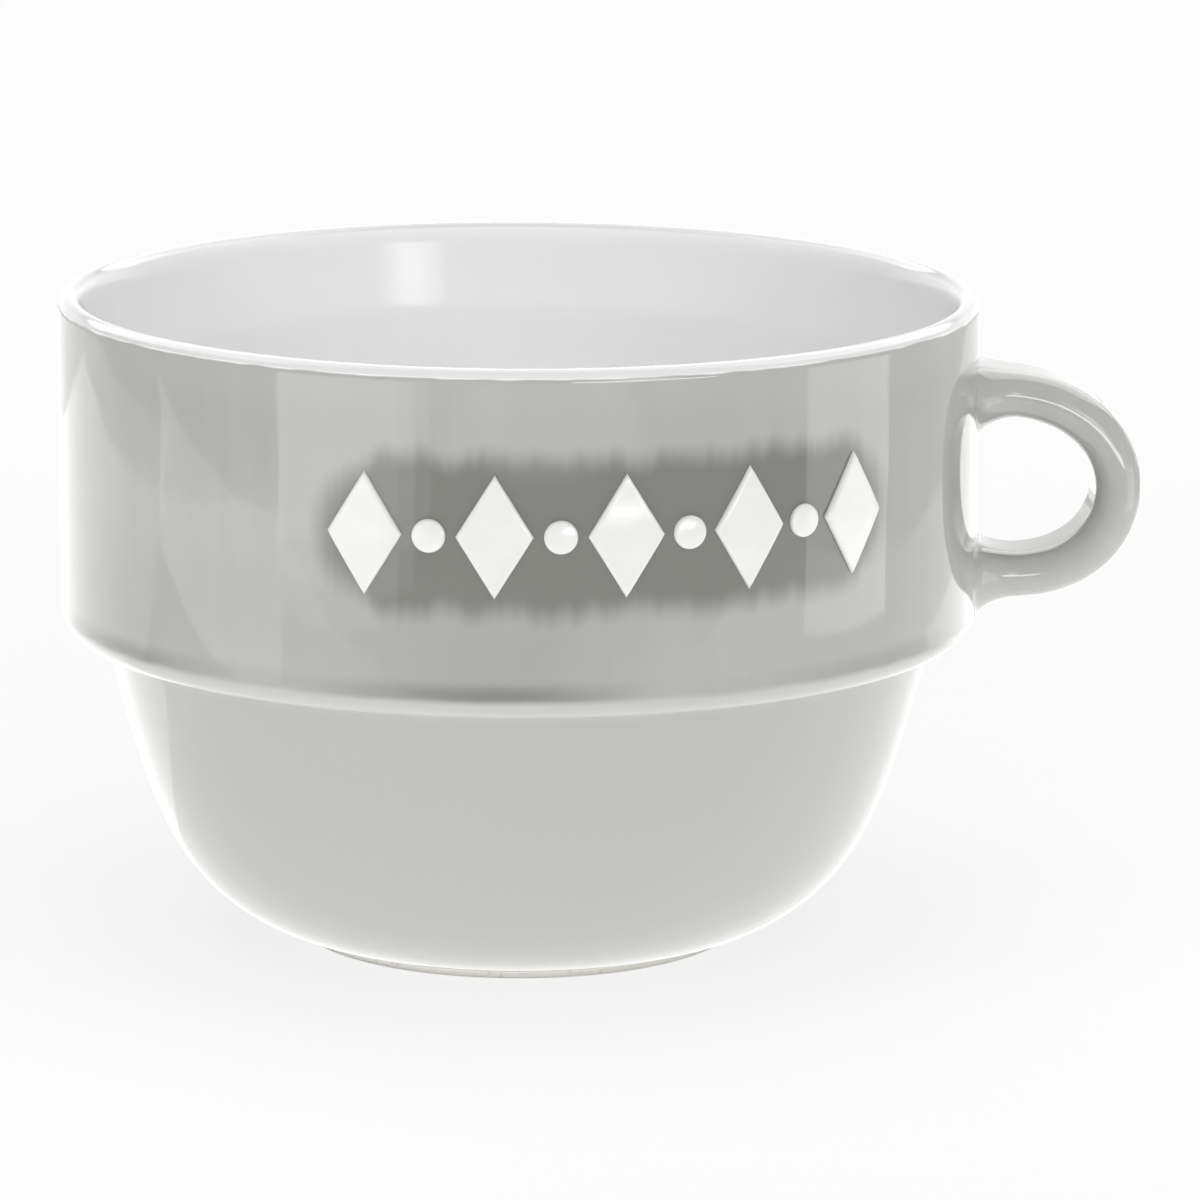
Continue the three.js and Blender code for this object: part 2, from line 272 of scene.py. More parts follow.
def outside_profile(sizes):
    """Grey side of the mug, from the foot up over the ledge to the colour line on the lip."""
    lean = sizes.bowl_lean
    foot = Vector((sizes.foot_radius + sizes.foot_shelf, 0, sizes.glaze_edge))
    fillet = Vector((
        sizes.collar_radius - sizes.ledge_width + sizes.ledge_fillet * math.cos(lean),
        0,
        sizes.ledge_height - sizes.ledge_fillet,
    ))
    top = polar(fillet, sizes.ledge_fillet, BACK - lean)
    corner = Vector((
        sizes.collar_radius - sizes.ledge_corner, 0, sizes.ledge_height + sizes.ledge_corner
    ))
    bowl = interpolate_bezier(
        foot,
        polar(foot, sizes.bowl_undercut_pull, sizes.bowl_undercut),
        polar(top, sizes.bowl_side_pull, DOWN - lean),
        top,
        OUTER_BOWL_POINTS,
    )
    return chain(
        bowl,
        arc(fillet, sizes.ledge_fillet, BACK - lean, UP, steps=10),
        arc(corner, sizes.ledge_corner, DOWN, 0, steps=18),
        arc(lip_centre(sizes), sizes.lip_thickness / 2, 0, sizes.lip_colour, steps=6),
    )


def inside_profile(sizes):
    """White side of the mug, from the colour line over the lip and down to the middle of the floor."""
    wall = sizes.collar_radius - sizes.wall_thickness
    lip = arc(lip_centre(sizes), sizes.lip_thickness / 2, sizes.lip_colour, UP, steps=14)
    fall = math.tan(sizes.mouth_lean)
    edge = polar(lip_centre(sizes), sizes.lip_thickness / 2, BACK - sizes.mouth_lean)
    mouth = edge - (edge.x - wall) * Vector((1, 0, 1 / fall))
    drop = sizes.lip_height - sizes.lip_shoulder - edge.z
    seat = edge + drop * Vector((fall, 0, 1))
    shoulder = interpolate_bezier(
        lip[-1],
        lip[-1] - Vector((ROUND_PULL * (lip[-1].x - seat.x), 0, 0)),
        seat + ROUND_PULL * sizes.lip_shoulder * Vector((fall, 0, 1)),
        seat,
        SHOULDER_POINTS,
    )
    mouth_turn = interpolate_bezier(
        polar(mouth, sizes.mouth_bend, UP - sizes.mouth_lean),
        mouth,
        mouth,
        polar(mouth, sizes.mouth_bend, DOWN),
        MOUTH_POINTS,
    )
    lean = sizes.bowl_lean
    step_top = Vector((wall, 0, sizes.ledge_height + sizes.step_rise))
    step_low = Vector((
        sizes.collar_radius - sizes.ledge_width - sizes.step_drop * math.tan(lean)
        - sizes.wall_thickness / math.cos(lean),
        0,
        sizes.ledge_height - sizes.step_drop,
    ))
    step = interpolate_bezier(
        step_top,
        polar(step_top, sizes.step_pull, DOWN),
        polar(step_low, sizes.step_pull, UP - lean),
        step_low,
        INNER_STEP_POINTS,
    )
    floor_edge = Vector((sizes.floor_radius, 0, sizes.floor_height))
    bowl = interpolate_bezier(
        step_low,
        polar(step_low, sizes.inside_pull, DOWN - lean),
        polar(floor_edge, sizes.floor_pull, 0),
        floor_edge,
        INNER_BOWL_POINTS,
    )
    return chain(lip, shoulder, mouth_turn, step, bowl, [Vector((0, 0, sizes.floor_height))])


def foot_profile(sizes):
    """Bare underside, from the middle of the recess over the foot ring to the edge of the glaze."""
    soft = sizes.foot_round
    inner = sizes.foot_radius - sizes.foot_width
    return chain(
        [Vector((0, 0, sizes.recess_depth)), Vector((inner - sizes.recess_slope, 0, sizes.recess_depth))],
        arc(Vector((inner + soft, 0, soft)), soft, BACK, BACK + UP, steps=6),
        arc(Vector((sizes.foot_radius - soft, 0, soft)), soft, DOWN, 0, steps=6),
        [Vector((sizes.foot_radius, 0, sizes.glaze_edge))],
    )


def name_piece(name):
    """Names the new primitive and opens it for modelling, all selected."""
    piece = bpy.context.object
    piece.name = piece.data.name = name
    bpy.ops.object.transform_apply(location=True, rotation=True, scale=True)
    bpy.ops.object.mode_set(mode="EDIT")
    bpy.ops.mesh.select_all(action="SELECT")
    return piece


def turn_profile(name, points, steps):
    """Draws a profile corner by corner and turns it once round the mug's axis."""
    bpy.ops.object.select_all(action="DESELECT")
    bpy.ops.mesh.primitive_plane_add(size=SAME_SPOT)
    piece = name_piece(name)
    bpy.ops.mesh.merge(type="CENTER")
    bpy.ops.transform.translate(value=AXIS + points[0])
    for before, after in zip(points, points[1:]):
        bpy.ops.mesh.extrude_vertices_move(TRANSFORM_OT_translate={"value": after - before})
    bpy.ops.mesh.select_all(action="SELECT")
    bpy.ops.mesh.spin(steps=steps, angle=math.tau, center=AXIS, axis=(0, 0, 1))
    close_mesh()
    return piece


def pick(kind, test):
    """Selects just the corners or edges of the open piece that pass a test."""
    bpy.ops.mesh.select_mode(type={"verts": "VERT", "edges": "EDGE"}[kind])
    bpy.ops.mesh.select_all(action="DESELECT")
    mesh = bpy.context.edit_object.data
    drawn = bmesh.from_edit_mesh(mesh)
    for item in getattr(drawn, kind):
        item.select_set(test(item))
    drawn.select_flush_mode()
    bmesh.update_edit_mesh(mesh)


def close_mesh():
    """Merges doubled corners, turns every face outwards and leaves edit mode."""
    bpy.ops.mesh.select_all(action="SELECT")
    bpy.ops.mesh.remove_doubles(threshold=SAME_SPOT)
    bpy.ops.mesh.normals_make_consistent(inside=False)
    bpy.ops.object.mode_set(mode="OBJECT")


def fire(piece, finish):
    """Gives the modelled piece its fired finish."""
    piece.data.materials.append(finish)
    bpy.ops.object.shade_smooth_by_angle(angle=SHARP)


def stand_for(piece, slot, *nodes):
    """Sets a finished piece in the frame, in the place of its solids."""
    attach(piece, "root")
    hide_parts(*nodes)


def add_node(tree, kind, sockets=None, **settings):
    """Adds a node with its settings, and sets or links its inputs."""
    node = tree.nodes.new(kind)
    for key, value in settings.items():
        setattr(node, key, value)
    for key, value in (sockets or {}).items():
        if isinstance(value, NodeSocket):
            tree.links.new(value, node.inputs[key])
        else:
            node.inputs[key].default_value = value
    return node


# Colour sockets of a Mix node, which share their names with others: two that go in and one that comes out
UNDER, OVER, MIXED = 6, 7, 2

# What is usual for the fired materials
GLAZE_IOR, CLAY_IOR = 1.52, 1.5

# Values of a texture: the range that a noise seldom leaves, and where a pattern starts and is full
NOISE_LOW, NOISE_HIGH = 0.3, 0.7
CLOUD_START, CLOUD_FULL = 0.35, 0.65
STREAK_START, STREAK_FULL = 0.4, 0.7
SHADE_PATCH_FULL, SHADE_PATCH_END = 0.4, 0.6
GRIT_START, GRIT_FULL = 0.28, 0.12

# Sizes of what the finishes show
GREY_CLOUD = 0.022
WHITE_CLOUD = 0.025
STREAK_WIDTH, STREAK_LENGTH = 0.003, 0.05  # of the streaks down the grey glaze
SHADE_PATCH_WIDTH = 0.05  # of the patches of painted dark reflection on the lower collar and above the ledge
EDGE_WAVE, EDGE_WAVE_HEIGHT = 0.006, 0.0006  # of the borders between thick and thin glaze
RAGGED_HEIGHT = 0.004  # of the border of the glaze behind the raised shapes
SHEEN_SPOT = 0.004  # of slightly duller glaze
SWELL, SWELL_HEIGHT = 0.012, 0.00007  # of the waver in a glaze
GRIT = 0.0014
TOOTH, TOOTH_HEIGHT = 0.0005, 0.00008  # of the dry skin of the clay
SLIP_CLOUD = 0.004
SLIP_SWELL, SLIP_RISE = 0.002, 0.00005


def new_finish(name):
    """A material with nothing in it yet."""
    finish = bpy.data.materials.new(name)
    finish.use_nodes = True
    finish.node_tree.nodes.clear()
    return finish, finish.node_tree


def lay_over(tree, tone, colour, measure, start, full, share=1.0, fade="SMOOTHSTEP"):
    """Lays a colour over a tone, from where a measure starts to where it is full."""
    reach = add_node(
        tree,
        "ShaderNodeMapRange",
        {"Value": measure, "From Min": start, "From Max": full, "To Min": 0.0, "To Max": share},
        interpolation_type=fade,
    ).outputs[0]
    return add_node(
        tree, "ShaderNodeMix", {"Factor": reach, UNDER: tone, OVER: [*colour, 1]}, data_type="RGBA"
    ).outputs[MIXED]


def fired_surface(tree, tone, ior, spots, roughness, skin, strength, rise):
    """Ends a finish: spots make a tone glossier or duller, and its skin rises and falls."""
    glossiest, dullest = roughness
    gloss = add_node(
        tree,
        "ShaderNodeMapRange",
        {
            "Value": spots,
            "From Min": NOISE_LOW,
            "From Max": NOISE_HIGH,
            "To Min": glossiest,
            "To Max": dullest,
        },
    ).outputs[0]
    relief = add_node(
        tree, "ShaderNodeBump", {"Strength": strength, "Distance": rise, "Height": skin}
    ).outputs[0]
    surface = add_node(
        tree,
        "ShaderNodeBsdfPrincipled",
        {"Base Color": tone, "Roughness": gloss, "IOR": ior, "Normal": relief},
    ).outputs[0]
    add_node(tree, "ShaderNodeOutputMaterial", {"Surface": surface})


def glassy_surface(tree, place, tone, roughness):
    """Ends a glaze with its glassy skin, a little duller in spots and with a slight waver."""
    spots = add_node(
        tree, "ShaderNodeTexNoise", {"Vector": place, "Scale": 1 / SHEEN_SPOT, "Detail": 2}
    ).outputs[0]
    swell = add_node(
        tree, "ShaderNodeTexNoise", {"Vector": place, "Scale": 1 / SWELL, "Detail": 1}
    ).outputs[0]
    fired_surface(tree, tone, GLAZE_IOR, spots, roughness, skin=swell, strength=1.0, rise=SWELL_HEIGHT)


def collar_turn(node):
    """Angle of a raised shape round the collar, from the front towards the handle."""
    low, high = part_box(node)
    middle = (low + high) / 2 - AXIS
    return math.atan2(middle.x, -middle.y)


def off_frieze(tree, place, sizes, frieze):
    """Distance of a spot on the collar from the middle line of the frieze."""
    spans = len(LOZENGES) - 1
    first = collar_turn(LOZENGES[0])
    pitch = (collar_turn(LOZENGES[-1]) - first) / spans
    inset = 0.25  # of a pitch: the line stops short of the middles of the end lozenges
    spot = add_node(tree, "ShaderNodeVectorMath", {0: place, 1: AXIS}, operation="SUBTRACT").outputs[0]
    spot = add_node(tree, "ShaderNodeSeparateXYZ", {0: spot}).outputs
    turn = add_node(tree, "ShaderNodeMath", {0: spot["Y"], 1: spot["X"]}, operation="ARCTAN2").outputs[0]
    pitches = add_node(
        tree,
        "ShaderNodeMath",
        {0: turn, 1: 1 / pitch, 2: (math.pi / 2 - first) / pitch},
        operation="MULTIPLY_ADD",
    ).outputs[0]
    nearest = add_node(
        tree, "ShaderNodeClamp", {"Value": pitches, "Min": inset, "Max": spans - inset}
    ).outputs[0]
    aside = add_node(tree, "ShaderNodeMath", {0: pitches, 1: nearest}, operation="SUBTRACT").outputs[0]
    aside = add_node(
        tree, "ShaderNodeMath", {0: aside, 1: pitch * sizes.collar_radius}, operation="MULTIPLY"
    ).outputs[0]
    rise = add_node(
        tree, "ShaderNodeMath", {0: spot["Z"], 1: frieze.height}, operation="SUBTRACT"
    ).outputs[0]
    from_line = add_node(tree, "ShaderNodeCombineXYZ", {"X": aside, "Y": rise}).outputs[0]
    return add_node(tree, "ShaderNodeVectorMath", {0: from_line}, operation="LENGTH").outputs["Value"]


def grey_bands(tree, place, upright, sizes, colours, frieze):
    """Bands of the body's grey coat: colour, measure, where it starts, where it is full, and its share."""
    height = add_node(tree, "ShaderNodeSeparateXYZ", {0: place}).outputs["Z"]
    wave = add_node(tree, "ShaderNodeTexNoise", {"Vector": place, "Scale": 1 / EDGE_WAVE, "Detail": 1})
    level = add_node(
        tree, "ShaderNodeMath", {0: wave.outputs[0], 1: EDGE_WAVE_HEIGHT, 2: height}, operation="MULTIPLY_ADD"
    ).outputs[0]
    # Patches of painted dark reflection, for the lower collar and the line above the ledge
    shade_noise = add_node(tree, "ShaderNodeTexNoise", {"Vector": place, "Scale": 1 / SHADE_PATCH_WIDTH, "Detail": 1})
    shade_patches = add_node(
        tree,
        "ShaderNodeMapRange",
        {"Value": shade_noise.outputs[0], "From Min": SHADE_PATCH_FULL, "From Max": SHADE_PATCH_END, "To Min": 1.0, "To Max": 0.1},
    ).outputs[0]
    ragged = add_node(tree, "ShaderNodeTexNoise", {"Vector": upright, "Scale": 0.8, "Detail": 2})
    off = add_node(
        tree,
        "ShaderNodeMath",
        {0: ragged.outputs[0], 1: RAGGED_HEIGHT, 2: off_frieze(tree, place, sizes, frieze)},
        operation="MULTIPLY_ADD",
    ).outputs[0]
    ledge = sizes.ledge_height
    corner = ledge + sizes.ledge_corner
    foot = sizes.glaze_edge
    lip = polar(lip_centre(sizes), sizes.lip_thickness / 2, sizes.lip_colour).z
    return (
        (colours.grey_painted_reflection, level, corner + 0.024, corner + 0.004, shade_patches),  # painted dark reflection, in patches, darker down the lower collar
        (colours.grey_deep, off, 0.0137, 0.0096),  # gathers behind the raised shapes
        (colours.grey_pooled_and_shade, level, corner + 0.0028, corner + 0.0006, shade_patches),  # painted dark reflection: a dark line just above the ledge
        (colours.grey_thin_and_highlight, level, corner + 0.0003, corner - 0.0008),  # paler over the ledge's corner: glaze breaking thin there, and partly a painted highlight
        (colours.grey_glaze, level, ledge + 0.0005, ledge - 0.0016),  # lies even on the bowl
        (colours.grey_thin_and_highlight, level, foot + 0.0045, foot, 0.8),  # thins out by the foot
        (colours.grey_thin_and_highlight, level, lip - 0.007, lip - 0.001, 0.4),  # thins out under the lip
        (colours.white_glaze, level, lip + 0.00005, lip + 0.0003),  # meets the white on the lip
    )


def grey_glaze(sizes, colours, frieze=None):
    """Dipped grey stoneware glaze, fired glossy.

    It shows as a smooth opaque grey under a glassy skin: faintly clouded, with a slight waver in its
    reflections. On the body, which has a frieze, it is thin and paler under the lip and by the foot, and
    paler over the ledge's corner, partly a painted highlight; it is darker in patches down the lower collar
    and in a line just above the ledge, both painted dark reflection; it pools darkest behind the raised
    shapes, and bleeds into the white at the lip.
    """
    finish, tree = new_finish("grey_stoneware_glaze" if frieze else "grey_stoneware_glaze_handle")
    place = add_node(tree, "ShaderNodeTexCoord").outputs["Object"]
    cloud = add_node(
        tree, "ShaderNodeTexNoise", {"Vector": place, "Scale": 1 / GREY_CLOUD, "Detail": 3}
    ).outputs[0]
    tone = [*colours.grey_glaze, 1]
    tone = lay_over(
        tree, tone, colours.grey_pooled_and_shade, cloud, CLOUD_START, CLOUD_FULL, share=0.08, fade="LINEAR"
    )
    streak_scale = (1 / STREAK_WIDTH, 1 / STREAK_WIDTH, 1 / STREAK_LENGTH)
    upright = add_node(tree, "ShaderNodeMapping", {"Vector": place, "Scale": streak_scale}).outputs[0]
    streak = add_node(
        tree, "ShaderNodeTexNoise", {"Vector": upright, "Scale": 1.0, "Detail": 2}
    ).outputs[0]
    tone = lay_over(
        tree, tone, colours.grey_pooled_and_shade, streak, STREAK_START, STREAK_FULL, share=0.07, fade="LINEAR"
    )
    if frieze:
        for band in grey_bands(tree, place, upright, sizes, colours, frieze):
            tone = lay_over(tree, tone, *band)
    glassy_surface(tree, place, tone, roughness=(0.03, 0.07))
    return finish


def white_glaze(sizes, colours):
    """Poured white stoneware glaze, fired glossy.

    It shows as an even milky white under a glassy skin, a shade greyer in soft clouds where it ran thick;
    darker towards the inside floor, where glaze gathers and with painted shade against the light from above;
    and greyer over the lip, where it breaks thin and with painted shade that holds down the lip's highlight.
    """
    finish, tree = new_finish("white_stoneware_glaze")
    place = add_node(tree, "ShaderNodeTexCoord").outputs["Object"]
    cloud = add_node(
        tree, "ShaderNodeTexNoise", {"Vector": place, "Scale": 1 / WHITE_CLOUD, "Detail": 3}
    ).outputs[0]
    tone = [*colours.white_glaze, 1]
    tone = lay_over(
        tree, tone, colours.white_shade, cloud, CLOUD_START, CLOUD_FULL, share=0.6, fade="LINEAR"
    )
    height = add_node(tree, "ShaderNodeSeparateXYZ", {0: place}).outputs["Z"]
    floor, top, edge = sizes.floor_height, sizes.lip_height, sizes.collar_radius
    # Darker towards the inside floor: glaze gathered there, and painted shade that keeps the lit floor from
    # burning out
    tone = lay_over(tree, tone, colours.white_pooled_and_shade, height, floor + 0.014, floor + 0.001)
    flat = add_node(
        tree, "ShaderNodeVectorMath", {0: place, 1: (1, 1, 0), 2: -AXIS}, operation="MULTIPLY_ADD"
    ).outputs[0]
    out = add_node(tree, "ShaderNodeVectorMath", {0: flat}, operation="LENGTH").outputs["Value"]
    # Greyer lip top and front: glaze breaking thin there, and painted shade that holds down the lip's
    # highlight
    on_top, in_front = [
        add_node(
            tree,
            "ShaderNodeMapRange",
            {"Value": measure, "From Min": start, "From Max": full, "To Min": 0.0, "To Max": share},
            interpolation_type="SMOOTHSTEP",
        ).outputs[0]
        for measure, start, full, share in (
            (height, top - 0.0008, top - 0.0002, 1.0),
            (out, edge - 0.0018, edge - 0.0012, 0.6),
        )
    ]
    lip = add_node(tree, "ShaderNodeMath", {0: on_top, 1: in_front}, operation="MAXIMUM").outputs[0]
    tone = add_node(
        tree, "ShaderNodeMix", {"Factor": lip, UNDER: tone, OVER: [*colours.white_thin_and_shade, 1]}, data_type="RGBA"
    ).outputs[MIXED]
    glassy_surface(tree, place, tone, roughness=(0.07, 0.12))
    return finish


def bare_stoneware(colours):
    """Bare fired stoneware, sponged smooth at the foot.

    It shows as a dry cream with fine darker grit and a slightly rough skin.
    """
    finish, tree = new_finish("bare_stoneware")
    place = add_node(tree, "ShaderNodeTexCoord").outputs["Object"]
    grit = add_node(tree, "ShaderNodeTexVoronoi", {"Vector": place, "Scale": 1 / GRIT}).outputs["Distance"]
    tone = [*colours.clay, 1]
    tone = lay_over(tree, tone, colours.clay_grit, grit, GRIT_START, GRIT_FULL, share=0.75, fade="LINEAR")
    tooth = add_node(
        tree, "ShaderNodeTexNoise", {"Vector": place, "Scale": 1 / TOOTH, "Detail": 4}
    ).outputs[0]
    fired_surface(
        tree, tone, CLAY_IOR, tooth, roughness=(0.75, 0.95), skin=tooth, strength=0.5, rise=TOOTH_HEIGHT
    )
    return finish


def raised_slip(colours):
    """Trailed white slip under clear glaze.

    It shows as a full bright white, softly glossy and a little uneven, like thick cream set hard.
    """
    finish, tree = new_finish("white_raised_slip")
    place = add_node(tree, "ShaderNodeTexCoord").outputs["Object"]
    cloud = add_node(
        tree, "ShaderNodeTexNoise", {"Vector": place, "Scale": 1 / SLIP_CLOUD, "Detail": 3}
    ).outputs[0]
    tone = add_node(
        tree,
        "ShaderNodeMix",
        {"Factor": cloud, UNDER: [*colours.relief, 1], OVER: [*colours.relief_shade, 1]},
        data_type="RGBA",
    ).outputs[MIXED]
    swell = add_node(
        tree, "ShaderNodeTexNoise", {"Vector": place, "Scale": 1 / SLIP_SWELL, "Detail": 1}
    ).outputs[0]
    fired_surface(
        tree, tone, CLAY_IOR, cloud, roughness=(0.1, 0.18), skin=swell, strength=0.3, rise=SLIP_RISE
    )
    return finish


class MUG_OT_clay_body(Operator):
    """Turn the stoneware body, which shows at its bare foot ring"""

    bl_idname = "mug.clay_body"
    bl_label = "Clay body"

    def execute(self, context):
        sizes = context.scene.mug_body
        skin = chain(outside_profile(sizes), inside_profile(sizes))
        wall = beneath(skin, sizes.glaze_thickness + sizes.bond_gap)
        wall[-1].x = 0
        piece = turn_profile("stoneware_body", chain(foot_profile(sizes), wall), sizes.turn_steps)
        fire(piece, bare_stoneware(context.scene.mug_colours))
        stand_for(piece, "bare_clay", "clay_body")
        return {"FINISHED"}


class MUG_OT_glaze_coats(Operator):
    """Turn the grey coat outside, the white lining inside and the glazed recess under the foot"""

    bl_idname = "mug.glaze_coats"
    bl_label = "Glaze coats"

    def execute(self, context):
        sizes = context.scene.mug_body
        colours = context.scene.mug_colours
        outside = outside_profile(sizes)
        inside = inside_profile(sizes)
        back = beneath(chain(outside, inside), sizes.glaze_thickness)
        back[-1].x = 0
        grey_back = back[:len(outside)]
        white_back = back[len(outside) - 1:]
        grey = grey_glaze(sizes, colours, context.scene.mug_frieze)
        coat = turn_profile("grey_coat", [*outside, *reversed(grey_back), outside[0]], sizes.turn_steps)
        fire(coat, grey)
        stand_for(coat, "grey_glaze", "grey_glaze_coat")
        lining = turn_profile("white_lining", [*inside, *reversed(white_back), inside[0]], sizes.turn_steps)
        fire(lining, white_glaze(sizes, colours))
        stand_for(lining, "white_glaze", "white_glaze_lining")
        rim = sizes.foot_radius - sizes.foot_width - sizes.recess_slope
        top = sizes.recess_depth - sizes.bond_gap
        low = top - sizes.glaze_thickness
        soft = sizes.glaze_thickness / 2
        disc = chain(
            [Vector((0, 0, low))],
            arc(Vector((rim - soft, 0, low + soft)), soft, DOWN, UP, steps=6),
            [Vector((0, 0, top))],
        )
        recess = turn_profile("underside_coat", disc, sizes.turn_steps)
        fire(recess, grey)
        stand_for(recess, "grey_glaze", "underside_glaze")
        return {"FINISHED"}


def handle_line(body, handle):
    """Middle line of the handle, from the collar out round the loop and back to the collar."""
    start = body.collar_radius + handle.root_length
    arm = (handle.tip - handle.thickness / 2 - start) / LOOP_REACH
    fall = math.tan(handle.droop)
    upper = Vector((start, 0, handle.upper_height))
    lower = Vector((start, 0, handle.lower_height))
    loop = interpolate_bezier(
        upper, upper + arm * Vector((1, 0, -fall)), lower + Vector((arm, 0, 0)), lower, LOOP_POINTS
    )
    root = handle.root_length
    return [upper + root * Vector((-1, 0, fall)), *loop, lower - Vector((root, 0, 0))]


def handle_rings(body, handle):
    """Centre, turn, half breadth and half thickness of each ring along the handle."""
    line = handle_line(body, handle)
    marks = [0.0]
    for before, after in zip(line, line[1:]):
        marks.append(marks[-1] + (after - before).length)
    whole = marks[-1]
    reach, steps = handle.root_reach, handle.root_rings
    root = []
    meet = handle.root_meet
    for i in range(steps + 1):
        turn = meet + (math.pi / 2 - meet) * i / steps
        out = 1 - math.cos(turn) / math.cos(meet)
        spread = (1 - math.sin(turn)) / (1 - math.sin(meet))
        root.append((reach * out, spread))
    between = [
        reach + (whole - 2 * reach) * i / handle.loop_rings for i in range(1, handle.loop_rings)
    ]
    places = [(at, part, handle.upper_outer, handle.upper_inner) for at, part in root]
    places += [(at, 0, 0, 0) for at in between]
    places += [(whole - at, part, handle.lower_outer, handle.lower_inner) for at, part in reversed(root)]
    rings = []
    for at, part, outer, inner in places:
        i = max(k for k in range(len(marks) - 1) if marks[k] <= at)
        along = line[i + 1] - line[i]
        centre = line[i] + along * (at - marks[i]) / along.length
        along.normalize()
        outwards = Vector((-along.z, 0, along.x))
        turn = math.atan2(-along.z, along.x) % math.tau
        level = 0 if at < whole / 2 else math.pi
        rings.append((
            AXIS + centre + outwards * part * (outer - inner) / 2,
            level + (turn - level) * (1 - part),
            handle.breadth / 2 + part * handle.side_spread,
            handle.thickness / 2 + part * (outer + inner) / 2,
        ))
    first, last = rings[0], rings[-1]
    inwards = Vector((handle.sunk, 0, 0))
    return [(first[0] - inwards, *first[1:]), *rings, (last[0] - inwards, *last[1:])]


class MUG_OT_handle(Operator):
    """Draw the glazed loop out from the collar, with its spread roots seated on the round of the collar"""

    bl_idname = "mug.handle"
    bl_label = "Handle"

    def execute(self, context):
        body = context.scene.mug_body
        handle = context.scene.mug_handle
        rings = handle_rings(body, handle)
        bpy.ops.object.select_all(action="DESELECT")
        bpy.ops.mesh.primitive_circle_add(
            vertices=handle.ring_corners,
            radius=handle.thickness / 2,
            fill_type="NOTHING",
            rotation=(0, math.pi / 2, 0),
        )
        piece = name_piece("glazed_handle")
        flat = (handle.breadth - handle.thickness) / 2
        for side in (1, -1):
            pick("verts", lambda corner: corner.co.y * side > SAME_SPOT)
            bpy.ops.transform.translate(value=(0, flat * side, 0))
        pick("edges", lambda edge: edge.calc_length() > flat)
        bpy.ops.mesh.subdivide(number_cuts=handle.flat_cuts)
        bpy.ops.mesh.select_all(action="SELECT")
        centre, turn, broad, thick = Vector(), 0, handle.breadth / 2, handle.thickness / 2
        for i, (to_centre, to_turn, to_broad, to_thick) in enumerate(rings):
            step = to_centre - centre
            if i == 0:
                bpy.ops.transform.translate(value=step)
            else:
                bpy.ops.mesh.extrude_edges_move(TRANSFORM_OT_translate={"value": step})
            bpy.ops.transform.rotate(value=turn, orient_axis="Y", center_override=to_centre)
            bpy.ops.transform.resize(
                value=(1, to_broad / broad, to_thick / thick), center_override=to_centre
            )
            bpy.ops.transform.rotate(value=-to_turn, orient_axis="Y", center_override=to_centre)
            centre, turn, broad, thick = to_centre, to_turn, to_broad, to_thick
        bpy.ops.mesh.select_all(action="SELECT")
        bpy.ops.mesh.fill_holes(sides=0)
        close_mesh()
        collar = body.collar_radius
        for corner in piece.data.vertices:
            out = (corner.co.x - AXIS.x - collar) / handle.root_reach
            seated = 1 - min(max(out, 0), 1)
            corner.co.x -= seated * seated * (collar - math.sqrt(collar ** 2 - corner.co.y ** 2))
        fire(piece, grey_glaze(body, context.scene.mug_colours))
        stand_for(
            piece, "grey_glaze", "handle_loop", "handle_glaze", "upper_handle_joint", "lower_handle_joint"
        )
        return {"FINISHED"}


def raise_relief(frieze, half_width):
    """Raises the open flat shape, softens its front edge and crowns its middle."""
    front = -frieze.relief - frieze.sunk
    middle = half_width / 4
    bpy.ops.mesh.extrude_region_move(TRANSFORM_OT_translate={"value": (0, front, 0)})

    def on_front(corner):
        return abs(corner.co.y - front) < SAME_SPOT

    def on_front_rim(edge):
        return all(on_front(corner) for corner in edge.verts) and edge.calc_face_angle(0) > SHARP

    pick("edges", on_front_rim)
    bpy.ops.mesh.bevel(offset=frieze.rounding, segments=5, profile=0.5, affect="EDGES")
    pick("verts", lambda corner: on_front(corner) and corner.co.xz.length < middle)
    bpy.ops.transform.translate(
        value=(0, -frieze.crown, 0),
        use_proportional_edit=True,
        proportional_edit_falloff="SMOOTH",
        proportional_size=half_width,
        use_proportional_connected=True,
    )
    bpy.ops.mesh.select_mode(type="VERT")


def set_round_collar(context, shape, names, finish):
    """Bends the modelled shape to the collar and sets a copy at each node of the frieze."""
    body = context.scene.mug_body
    frieze = context.scene.mug_frieze
    seat = body.collar_radius - frieze.sunk
    bpy.ops.object.mode_set(mode="OBJECT")
    bend = shape.modifiers.new("collar_round", "SIMPLE_DEFORM")
    bend.deform_method = "BEND"
    bend.deform_axis = "Z"
    bend.angle = shape.dimensions.x / seat
    bpy.ops.object.modifier_apply(modifier=bend.name)
    fire(shape, finish)
    pieces = {}
    step, turned = AXIS + Vector((0, -seat, frieze.height)), 0
    for name in names:
        turn = collar_turn(name)
        if name != names[0]:
            bpy.ops.object.duplicate(linked=False)
        piece = context.object
        piece.name = piece.data.name = name.replace("relief", "raised")
        bpy.ops.object.mode_set(mode="EDIT")
        bpy.ops.mesh.select_all(action="SELECT")
        bpy.ops.transform.translate(value=step)
        bpy.ops.transform.rotate(value=turned - turn, orient_axis="Z", center_override=AXIS)
        close_mesh()
        step, turned = Vector(), turn
        pieces[name] = piece
    for name, piece in pieces.items():
        stand_for(piece, "white_relief", name)


